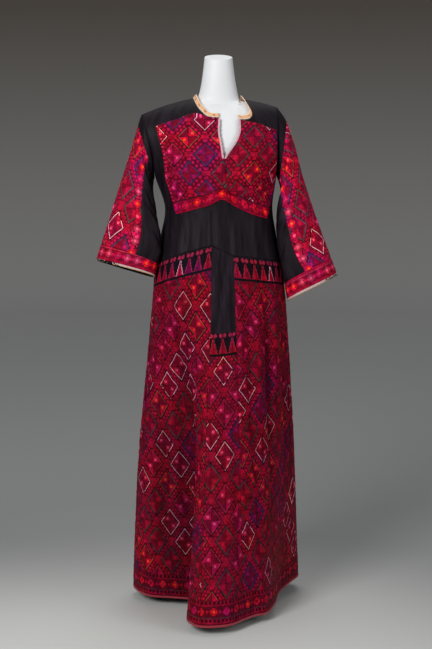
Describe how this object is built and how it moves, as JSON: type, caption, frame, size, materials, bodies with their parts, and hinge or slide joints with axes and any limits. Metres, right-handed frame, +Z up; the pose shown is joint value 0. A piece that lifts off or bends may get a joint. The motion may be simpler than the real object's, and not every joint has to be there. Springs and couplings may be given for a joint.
{
  "type": "palestinian thobe dress on a limbless dress form",
  "caption": "Long black and red cross-stitched dress with flared three-quarter sleeves, worn by a white limbless dress form on a hidden pole and base plate.",
  "frame": {"origin": "on the base plate's flat underside, straight under the middle of the shoulders", "axes": "front faces -Y, +X towards the wearer's left, +Z up"},
  "size_m": [0.6649, 0.5757, 1.5502],
  "materials": {
    "black_cotton_sateen": "woven cotton sateen, black with a faint sheen",
    "cross_stitched_cotton": "cotton covered in silk cross stitch, mostly red and magenta",
    "striped_silk_ribbon": "gold and orange striped silk",
    "pale_silk_edging": "pale pink needle-lace edging",
    "red_cotton_tape": "narrow red cotton tape",
    "matt_white_form": "matt white, smooth",
    "powder_coated_steel": "pale grey powder coat"
  },
  "bodies": {
    "root": {"bodice_back": "black_cotton_sateen", "bodice_front": "black_cotton_sateen", "chest_panel": "cross_stitched_cotton", "form_base": "powder_coated_steel", "form_pole": "powder_coated_steel", "form_torso": "matt_white_form", "hem_binding": "red_cotton_tape", "neck_ribbon": "striped_silk_ribbon", "skirt_back_centre": "cross_stitched_cotton", "skirt_back_left": "cross_stitched_cotton", "skirt_back_right": "cross_stitched_cotton", "skirt_front_centre": "cross_stitched_cotton", "skirt_front_left": "cross_stitched_cotton", "skirt_front_right": "cross_stitched_cotton", "sleeve_left_cuff": "cross_stitched_cotton", "sleeve_left_edging": "striped_silk_ribbon", "sleeve_left_head": "black_cotton_sateen", "sleeve_left_strip": "cross_stitched_cotton", "sleeve_left_under": "black_cotton_sateen", "sleeve_right_cuff": "cross_stitched_cotton", "sleeve_right_edging": "striped_silk_ribbon", "sleeve_right_head": "black_cotton_sateen", "sleeve_right_strip": "cross_stitched_cotton", "sleeve_right_under": "black_cotton_sateen", "slit_edging_left": "pale_silk_edging", "slit_edging_right": "pale_silk_edging"}
  },
  "joints": []
}
